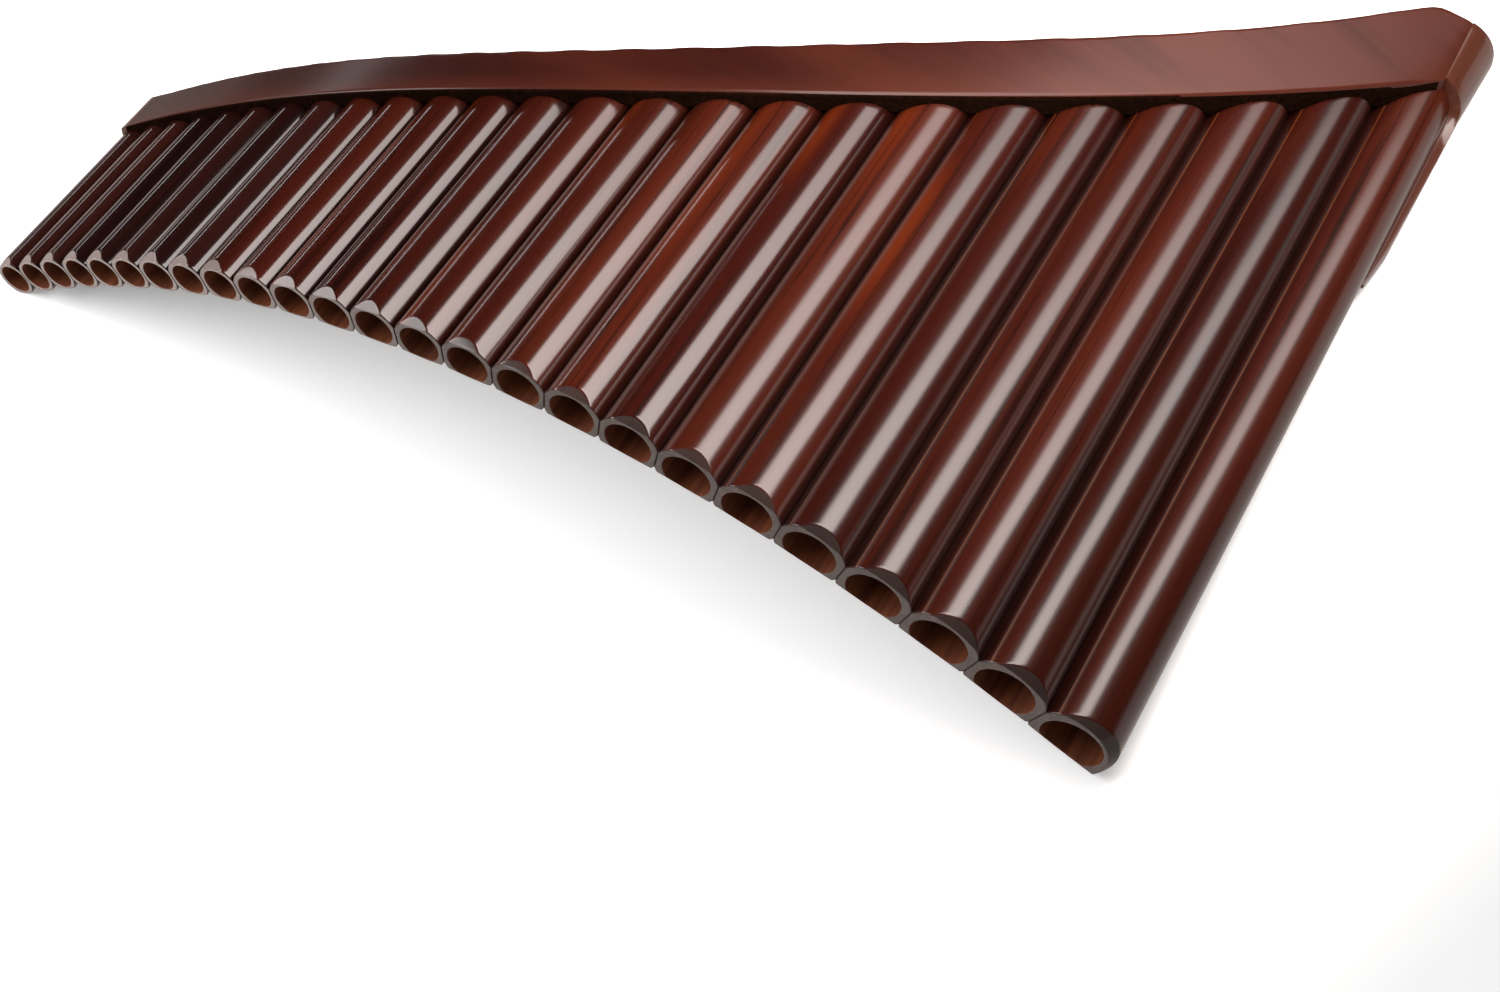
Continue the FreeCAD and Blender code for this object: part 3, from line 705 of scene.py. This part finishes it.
def area_light(name, centre, along, across, length, width, power, colour=(1, 1, 1)):
    """A rectangular softbox that shines against the cross product of along and across."""
    x_axis = Vector(along).normalized()
    y_axis = Vector(across)
    y_axis = (y_axis - x_axis * y_axis.dot(x_axis)).normalized()
    z_axis = x_axis.cross(y_axis)
    data = bpy.data.lights.new(name, "AREA")
    data.shape = "RECTANGLE"
    data.size = length
    data.size_y = width
    data.energy = power
    data.color = colour
    light = bpy.data.objects.new(name, data)
    turn = Matrix((x_axis, y_axis, z_axis)).transposed().to_4x4()
    light.matrix_world = Matrix.Translation(centre) @ turn
    light.visible_camera = False
    bpy.context.scene.collection.objects.link(light)


def lit_card(name, centre, target, length, width, radiance, colour=(1, 1, 1)):
    """A lit card facing a point."""
    z_axis = (Vector(centre) - Vector(target)).normalized()
    x_axis = Vector((0.02, 0, 1)).cross(z_axis).normalized()
    area_light(name, centre, x_axis, z_axis.cross(x_axis), length, width,
               radiance * math.pi * length * width, colour)


def make_softbox():
    """The key light: strips that grow narrower and dimmer towards the base."""
    centre = Vector((0.208, 0.222, 0.394))
    along = Vector((0.479, 0.838, -0.263)).normalized()
    across = Vector((-0.333, 0.426, 0.840))
    across = (across - along * across.dot(along)).normalized()
    for k in range(KEY_STRIPS):
        part = (k + 0.5) / KEY_STRIPS
        low, high = blend(*KEY_LOW, part), blend(*KEY_HIGH, part)
        place = centre + along * blend(-KEY_REACH, KEY_REACH, part) + across * (low + high) / 2
        length, width = 2 * KEY_REACH / KEY_STRIPS, high - low
        area_light(f"softbox_{k + 1}", place, along, across, length, width,
                   blend(*KEY_RADIANCE, part) * math.pi * length * width, (1.0, 0.91, 0.87))


def make_world():
    """Even light from all round, kept out of the reflections so that the lacquer stays deep."""
    world = bpy.data.worlds.new("studio")
    bpy.context.scene.world = world
    world.use_nodes = True
    back = world.node_tree.nodes["Background"]
    back.inputs["Color"].default_value = (1.0, 0.99, 0.98, 1)
    back.inputs["Strength"].default_value = WORLD_STRENGTH
    world.cycles_visibility.glossy = False


def make_floor():
    bpy.ops.mesh.primitive_plane_add(size=6.0, location=(0, 0, -0.0001))
    floor = bpy.context.object
    floor.name = "floor"
    material = bpy.data.materials.new("floor_white")
    material.use_nodes = True
    shader = material.node_tree.nodes["Principled BSDF"]
    shader.inputs["Base Color"].default_value = (0.9, 0.9, 0.9, 1)
    shader.inputs["Roughness"].default_value = 0.6
    shader.inputs["Specular IOR Level"].default_value = 0.2
    shader.inputs["Emission Color"].default_value = (1, 1, 1, 1)
    shader.inputs["Emission Strength"].default_value = FLOOR_GLOW
    floor.data.materials.append(material)
    floor.visible_glossy = False


# ---------------------------------------------------------------- materials

class Nodes:
    """Short names for building a material's node tree."""

    def __init__(self, name):
        self.material = bpy.data.materials.new(name)
        self.material.use_nodes = True
        self.tree = self.material.node_tree
        self.shader = self.tree.nodes["Principled BSDF"]

    def add(self, kind, settings=None, **inputs):
        node = self.tree.nodes.new("ShaderNode" + kind)
        for key, value in (settings or {}).items():
            setattr(node, key, value)
        for key, value in inputs.items():
            self.plug(node.inputs[key.replace("_", " ")], value)
        return node

    def plug(self, socket, value):
        if isinstance(value, bpy.types.NodeSocket):
            self.tree.links.new(value, socket)
        else:
            socket.default_value = value

    def maths(self, operation, a, b=0.0, clamp=False):
        node = self.add("Math", {"operation": operation, "use_clamp": clamp})
        self.plug(node.inputs[0], a)
        self.plug(node.inputs[1], b)
        return node.outputs[0]

    def mix(self, factor, a, b, blend_type="MIX"):
        node = self.add("Mix", {"data_type": "RGBA", "blend_type": blend_type})
        self.plug(node.inputs["Factor"], factor)
        self.plug(node.inputs["A"], (*a, 1) if isinstance(a, tuple) else a)
        self.plug(node.inputs["B"], (*b, 1) if isinstance(b, tuple) else b)
        return node.outputs["Result"]

    def attribute(self, name):
        return self.add("Attribute", {"attribute_name": name}).outputs["Fac"]

    def noise(self, scale, detail=4.0, offset=None, rough=0.5):
        """Noise stretched by a scale for each axis, in object space."""
        coords = self.add("TexCoord").outputs["Object"]
        mapping = self.add("Mapping", Vector=coords, Scale=scale)
        if offset is not None:
            shift = self.add("CombineXYZ", X=offset, Y=offset, Z=offset)
            self.plug(mapping.inputs["Location"], shift.outputs[0])
        return self.add("TexNoise", Vector=mapping.outputs[0], Scale=1.0, Detail=detail,
                        Roughness=rough).outputs["Fac"]

    def steps(self, value, low, high):
        """Zero below low, one above high, smooth between."""
        node = self.add("MapRange", {"interpolation_type": "SMOOTHSTEP"}, Value=value)
        node.inputs["From Min"].default_value = low
        node.inputs["From Max"].default_value = high
        return node.outputs[0]

    def bump(self, height, distance, strength):
        node = self.add("Bump", Height=height, Distance=distance, Strength=strength)
        return node.outputs[0]


GRAIN = {"Y": ((2600, 22, 2600), (420, 7, 420), (45, 2.2, 45)),
         "X": ((70, 900, 900), (11, 230, 260), (5, 30, 30))}


def painted_base_sheen(nodes, colour, warm, drift):
    """The base's painted sheen: painted paler towards the bass end, with grain streaks in it, and along its
    front edge.
    """
    split = nodes.add("SeparateXYZ", Vector=nodes.add("TexCoord").outputs["Object"])
    waved = nodes.maths("MULTIPLY_ADD", drift, 0.09)
    nodes.plug(waved.node.inputs[2], split.outputs["X"])
    # painted sheen: the base is painted paler towards the bass end
    light = nodes.maths("MULTIPLY", nodes.steps(waved, 0.06, 0.16), 0.75)
    streaks = nodes.noise((4, 75, 22), 2.5, None, 0.55)
    sheen_colour = nodes.mix(nodes.steps(streaks, 0.44, 0.66), PAINTED_SHEEN_COLOUR, warm)
    colour = nodes.mix(light, colour, sheen_colour)
    # painted sheen: a paler band along the front edge
    edge_sheen = nodes.maths("MULTIPLY", nodes.attribute("edge_sheen"), 0.5)
    return nodes.mix(edge_sheen, colour, PAINTED_SHEEN_COLOUR)


def stain_and_painted_light(nodes, colour, deep, figure, offset):
    """A pipe's stain, its own tone, and painted light: a painted warm glow on one flank, painted shade in
    the valleys by the joints, and a thin painted reflected line.
    """
    tone = nodes.maths("MULTIPLY_ADD", nodes.attribute("tone"), 0.3)
    tone.node.inputs[2].default_value = 0.85
    colour = nodes.add("VectorMath", {"operation": "SCALE"}, Vector=colour, Scale=tone).outputs[0]
    # painted glow: a warm band painted on one flank of each pipe, beside the highlight
    flank = nodes.maths("MULTIPLY", nodes.steps(nodes.attribute("round"), -60, -42),
                        nodes.maths("SUBTRACT", 1.0, nodes.steps(nodes.attribute("round"), -36, -8)))
    patches = nodes.steps(nodes.noise((14, 8, 14), 1.0, offset), 0.5, 0.66)
    painted_glow = nodes.maths("MULTIPLY", nodes.maths("MULTIPLY", flank, patches), nodes.attribute("painted_glow"))
    colour = nodes.mix(painted_glow, colour, PAINTED_GLOW_COLOUR)
    # painted shade: darkened in a broad band either side of each joint, where the valleys between pipes lie
    # in shade
    valley_shade = nodes.maths("MULTIPLY", nodes.steps(nodes.attribute("seam"), 0.0, 0.9), 0.8)
    colour = nodes.mix(valley_shade, colour, deep)
    # painted reflection: a thin warm line on each pipe's flank near the joint, broken by the figure
    apart = nodes.maths("ABSOLUTE", nodes.maths("ADD", nodes.attribute("round"), REFLECTED_LINE_ANGLE))
    reflected_line = nodes.maths("SUBTRACT", 1.0, nodes.steps(apart, 0.3, 1.9))
    broken = nodes.maths("MULTIPLY_ADD", nodes.steps(figure, 0.3, 0.6), 0.55)
    broken.node.inputs[2].default_value = 0.35
    reflected_line = nodes.maths("MULTIPLY", nodes.maths("MULTIPLY", reflected_line, broken), nodes.attribute("reflected_line_strength"))
    return nodes.mix(reflected_line, colour, REFLECTED_LINE_COLOUR)


def lacquered_wood(name, deep, body, warm, along="Y", coat=1.0, coat_rough=0.15, rough=0.38,
                   turned=False, figured=1.0, painted_reflection=None):
    """Stained wood under lacquer: pores, figure and slow colour drift under a soft gloss."""
    nodes = Nodes(name)
    offset = nodes.maths("MULTIPLY", nodes.attribute("tone"), 31.0) if turned else None
    pores = nodes.noise(GRAIN[along][0], 5.0, offset)
    figure = nodes.noise(GRAIN[along][1], 5.0, offset, 0.6)
    drift = nodes.noise(GRAIN[along][2], 2.0, offset)
    colour = nodes.mix(nodes.steps(drift, 0.35, 0.68), body, warm)
    colour = nodes.mix(nodes.maths("MULTIPLY", nodes.steps(figure, 0.5, 0.74), figured), colour, deep)
    if along == "X":
        colour = painted_base_sheen(nodes, colour, warm, drift)
    dark_pores = nodes.maths("MULTIPLY", nodes.steps(pores, 0.56, 0.72), 0.5 * figured ** 2)
    colour = nodes.mix(dark_pores, colour, deep)
    if turned:
        colour = stain_and_painted_light(nodes, colour, deep, figure, offset)
    # painted reflection: rims and chamfers painted paler on the shorter pipes, where they mirror the white
    # floor
    if painted_reflection:
        colour = nodes.mix(nodes.maths("MULTIPLY", nodes.attribute("painted_reflection"), 0.8), colour, painted_reflection)
    nodes.plug(nodes.shader.inputs["Base Color"], colour)
    gloss = nodes.maths("MULTIPLY_ADD", pores, 0.25)
    gloss.node.inputs[2].default_value = rough - 0.1
    nodes.plug(nodes.shader.inputs["Roughness"], gloss)
    nodes.plug(nodes.shader.inputs["Normal"], nodes.bump(pores, 0.04 * MM, 0.35 * figured ** 3))
    nodes.plug(nodes.shader.inputs["Coat Normal"], nodes.bump(figure, 0.03 * MM, 0.25 * figured ** 3))
    nodes.shader.inputs["Specular IOR Level"].default_value = 0.04
    nodes.shader.inputs["Coat Weight"].default_value = coat
    nodes.shader.inputs["Coat Roughness"].default_value = coat_rough
    return nodes.material


def plain_wood(name, dark, light, scale, rough=0.6, bump=0.05, shine=0.5, painted_reflection=None):
    """Wood with little finish: end grain at the mouths, and the inside of the bores."""
    nodes = Nodes(name)
    grain = nodes.noise(scale, 6.0, None, 0.65)
    cloud = nodes.noise((140, 140, 140), 3.0)
    colour = nodes.mix(nodes.steps(grain, 0.32, 0.7), dark, light)
    colour = nodes.mix(nodes.maths("MULTIPLY", nodes.steps(cloud, 0.45, 0.7), 0.45), colour, dark)
    # painted reflection: painted paler on the shorter pipes, where the rims mirror the white floor
    if painted_reflection:
        colour = nodes.mix(nodes.maths("MULTIPLY", nodes.attribute("painted_reflection"), 0.75), colour, painted_reflection)
    nodes.plug(nodes.shader.inputs["Base Color"], colour)
    nodes.shader.inputs["Specular IOR Level"].default_value = shine
    gloss = nodes.maths("MULTIPLY_ADD", cloud, 0.25)
    gloss.node.inputs[2].default_value = rough - 0.12
    nodes.plug(nodes.shader.inputs["Roughness"], gloss)
    nodes.plug(nodes.shader.inputs["Normal"], nodes.bump(grain, bump * MM, 0.5))
    return nodes.material


def cork_material():
    """Pressed cork: pale grains, brown flecks and small pits."""
    nodes = Nodes("cork")
    coords = nodes.add("TexCoord").outputs["Object"]
    cells = nodes.add("TexVoronoi", Vector=coords, Scale=900.0)
    flecks = nodes.noise((1500, 1500, 1500), 5.0)
    colour = nodes.mix(cells.outputs["Distance"], (0.42, 0.24, 0.11), (0.26, 0.13, 0.055))
    colour = nodes.mix(nodes.steps(flecks, 0.58, 0.66), colour, (0.07, 0.03, 0.012))
    nodes.plug(nodes.shader.inputs["Base Color"], colour)
    nodes.shader.inputs["Roughness"].default_value = 0.9
    nodes.plug(nodes.shader.inputs["Normal"], nodes.bump(flecks, 0.2 * MM, 0.7))
    return nodes.material


def wax_material():
    """Beeswax: honey coloured, a little cloudy and unevenly pressed."""
    nodes = Nodes("beeswax")
    cloud = nodes.noise((260, 260, 260), 4.0)
    dents = nodes.noise((600, 600, 600), 2.0)
    colour = nodes.mix(nodes.steps(cloud, 0.35, 0.7), (0.42, 0.22, 0.05), (0.62, 0.40, 0.13))
    nodes.plug(nodes.shader.inputs["Base Color"], colour)
    gloss = nodes.maths("MULTIPLY_ADD", dents, 0.3)
    gloss.node.inputs[2].default_value = 0.3
    nodes.plug(nodes.shader.inputs["Roughness"], gloss)
    nodes.shader.inputs["Subsurface Weight"].default_value = 0.2
    nodes.shader.inputs["Subsurface Scale"].default_value = 0.002
    nodes.plug(nodes.shader.inputs["Normal"], nodes.bump(dents, 0.3 * MM, 0.6))
    return nodes.material


# painted sheen colour on the base, towards the bass end and along its front edge
PAINTED_SHEEN_COLOUR = (0.062, 0.0135, 0.0072)
# angle and colour of the thin painted reflected line on each pipe's flank
REFLECTED_LINE_ANGLE = 50.0
REFLECTED_LINE_COLOUR = (0.095, 0.024, 0.006)
PIPE_COLOURS = (0.007, 0.0015, 0.001), (0.024, 0.0031, 0.0016), (0.045, 0.0068, 0.0026)
# colour of the painted warm glow beside the highlights
PAINTED_GLOW_COLOUR = (0.150, 0.021, 0.003)
TREBLE_COLOURS = (0.006, 0.0018, 0.0016), (0.013, 0.0028, 0.0022), (0.026, 0.0052, 0.0034)
treble_pipe_wood = lacquered_wood("treble_pipe_wood", *TREBLE_COLOURS, turned=True, coat=0.9, coat_rough=0.1)
pipe_wood = lacquered_wood("pipe_wood", *PIPE_COLOURS, turned=True, coat_rough=0.12)
middle_pipe_wood = lacquered_wood("middle_pipe_wood", *PIPE_COLOURS, turned=True, coat_rough=0.16)
bass_pipe_wood = lacquered_wood("bass_pipe_wood", *PIPE_COLOURS, turned=True, coat_rough=0.22)
base_wood = lacquered_wood("base_wood", (0.008, 0.0016, 0.0012), (0.020, 0.0034, 0.0021),
                           (0.038, 0.0076, 0.0040), along="X", coat=0.4, coat_rough=0.22, rough=0.5,
                           figured=0.4)
cheek_wood = lacquered_wood("cheek_wood", (0.030, 0.009, 0.006), (0.048, 0.014, 0.008),
                            (0.070, 0.021, 0.012), along="Y", coat_rough=0.16, rough=0.42, figured=0.5)
# chamfers: near-black, darker than the pipes' own lacquer, as painted shade
chamfer_wood = lacquered_wood("chamfer_wood", (0.003, 0.001, 0.001), (0.008, 0.003, 0.002),
                              (0.016, 0.005, 0.003), turned=True, coat=0.5, coat_rough=0.14,
                              painted_reflection=(0.23, 0.18, 0.165))
# rims: painted paler on the shorter pipes, a painted reflection
rim_wood = plain_wood("rim_wood", (0.038, 0.027, 0.023), (0.085, 0.064, 0.056), (900, 900, 900), 0.45,
                      shine=0.4, painted_reflection=(0.30, 0.25, 0.23))
# near-black, for the painted shadow under the rails' front edge
painted_shadow_wood = plain_wood("painted_shadow_wood", (0.004, 0.002, 0.001), (0.014, 0.005, 0.003), (900, 300, 900), 0.7,
                       shine=0.0)
bore_wood = plain_wood("bore_wood", (0.075, 0.020, 0.009), (0.150, 0.044, 0.017), (500, 18, 500), 0.5,
                       shine=0.25)
cork = cork_material()
beeswax = wax_material()

rng = np.random.default_rng(7)
TONES = [float(tone) - TONE_DARKENING * max(1 - index / TONE_DARKENED, 0)
         for index, tone in enumerate(rng.uniform(0, 1, PIPE_COUNT))]
TONES[LAST] = 1.0
for name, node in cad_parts.items():
    finish = (cork if "stopper" in name else beeswax if "wax" in name else
              cheek_wood if "cheek" in name else base_wood if "base" in name else pipe_wood)
    node.data.materials.clear()
    node.data.materials.append(finish)

for index in range(PIPE_COUNT):
    make_pipe(index)
make_rails()
make_bass_cheek()
make_treble_cheek()
make_camera()
make_world()
make_floor()
make_softbox()
# A card on the left, a strip for the short pipes' thin highlights, and light returned by the floor.
lit_card("left_card", (-0.62, -0.50, 0.58), (-0.07, -0.157, 0.03), 0.80, 0.42, 9.0)
lit_card("far_strip", (-0.94, 0.29, 0.27), (-0.17, -0.10, 0.02), 0.9, 0.05, 6.0)
lit_card("underglow", (0, 0, -0.02), (0, 0, 1), 3.0, 3.0, 0.65, (1.0, 0.86, 0.80))
scene = bpy.context.scene
scene.view_settings.view_transform = "Standard"
